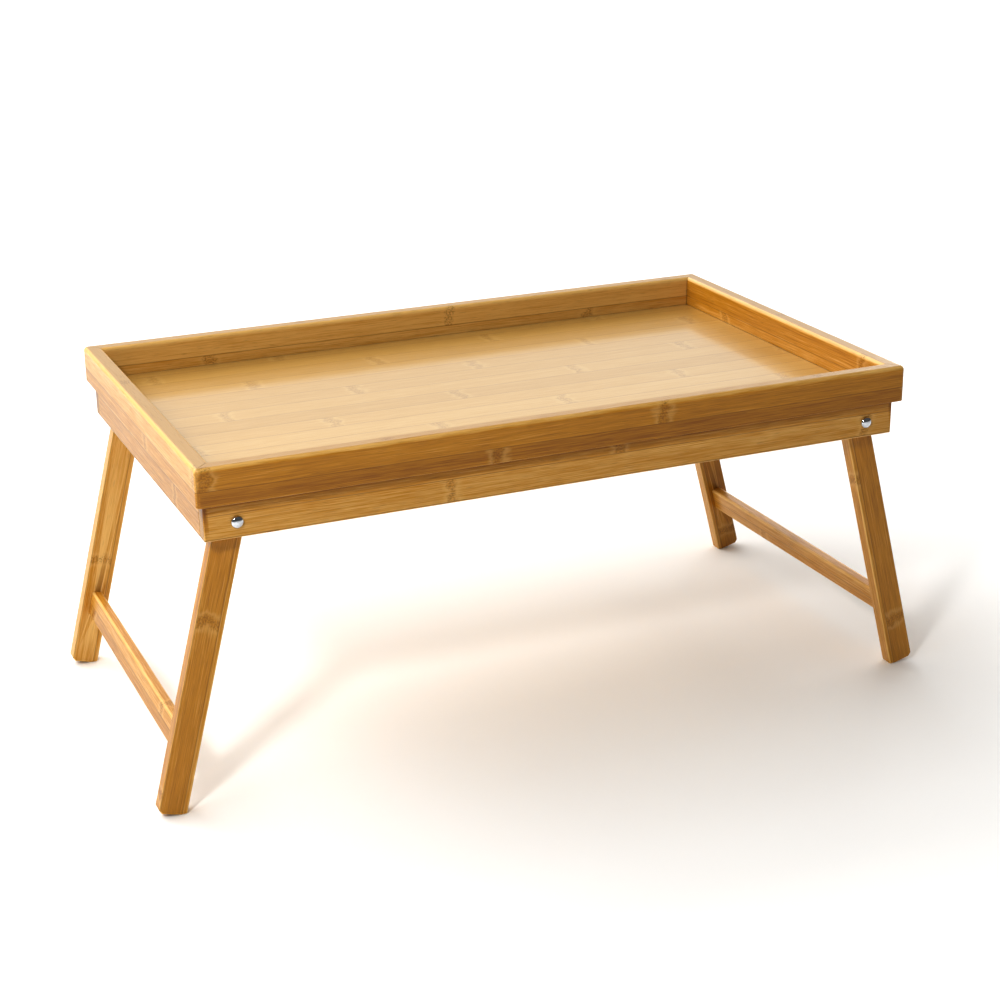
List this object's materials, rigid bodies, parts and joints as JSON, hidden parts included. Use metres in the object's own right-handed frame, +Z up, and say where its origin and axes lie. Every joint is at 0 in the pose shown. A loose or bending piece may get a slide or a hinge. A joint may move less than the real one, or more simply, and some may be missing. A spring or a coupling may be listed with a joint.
{
  "type": "folding tray table",
  "caption": "Rectangular bamboo bed tray with a raised mitred rim, an apron frame below, and a leg frame at each end that folds flat into it.",
  "frame": {"origin": "on the floor, under the middle of the open tray", "axes": "+X along the tray's length, +Y from the front to the back, +Z up"},
  "size_m": [0.5662, 0.3, 0.2348],
  "materials": {
    "varnished_bamboo": "clear satin varnish over pressed bamboo strip",
    "bamboo_panel": "clear semi-gloss varnish over a thin bamboo ply",
    "plain_bamboo": "bare bamboo, hidden in the joints",
    "chrome_plate": "bright chrome plate",
    "zinc_plated_steel": "bright zinc plate"
  },
  "bodies": {
    "tray": {"tray_panel": "bamboo_panel", "front_rim": "varnished_bamboo", "back_rim": "varnished_bamboo", "left_rim": "varnished_bamboo", "right_rim": "varnished_bamboo", "front_left_rim_spline": "plain_bamboo", "back_left_rim_spline": "plain_bamboo", "front_right_rim_spline": "plain_bamboo", "back_right_rim_spline": "plain_bamboo", "front_apron": "varnished_bamboo", "back_apron": "varnished_bamboo", "left_apron": "varnished_bamboo", "right_apron": "varnished_bamboo", "front_left_low_dowel": "plain_bamboo", "front_left_high_dowel": "plain_bamboo", "back_left_low_dowel": "plain_bamboo", "back_left_high_dowel": "plain_bamboo", "front_right_low_dowel": "plain_bamboo", "front_right_high_dowel": "plain_bamboo", "back_right_low_dowel": "plain_bamboo", "back_right_high_dowel": "plain_bamboo", "left_batten": "varnished_bamboo", "right_batten": "varnished_bamboo", "front_left_pivot_bolt": "chrome_plate", "back_left_pivot_bolt": "chrome_plate", "front_right_pivot_bolt": "chrome_plate", "back_right_pivot_bolt": "chrome_plate", "front_left_spacer_washer": "zinc_plated_steel", "back_left_spacer_washer": "zinc_plated_steel", "front_right_spacer_washer": "zinc_plated_steel", "back_right_spacer_washer": "zinc_plated_steel", "front_left_inner_washer": "zinc_plated_steel", "back_left_inner_washer": "zinc_plated_steel", "front_right_inner_washer": "zinc_plated_steel", "back_right_inner_washer": "zinc_plated_steel", "front_left_pivot_nut": "zinc_plated_steel", "back_left_pivot_nut": "zinc_plated_steel", "front_right_pivot_nut": "zinc_plated_steel", "back_right_pivot_nut": "zinc_plated_steel"},
    "left_leg_frame": {"front_left_leg": "varnished_bamboo", "back_left_leg": "varnished_bamboo", "left_stretcher": "varnished_bamboo"},
    "right_leg_frame": {"front_right_leg": "varnished_bamboo", "back_right_leg": "varnished_bamboo", "right_stretcher": "varnished_bamboo"}
  },
  "joints": [
    {"name": "left_leg_fold", "type": "hinge", "parent": "tray", "child": "left_leg_frame", "pos_m": [-0.22417, 0, 0.19601], "axis": [0, -1, 0], "range_deg": [0, 104.5]},
    {"name": "right_leg_fold", "type": "hinge", "parent": "tray", "child": "right_leg_frame", "pos_m": [0.22417, 0, 0.19601], "axis": [0, 1, 0], "range_deg": [0, 104.5]}
  ]
}
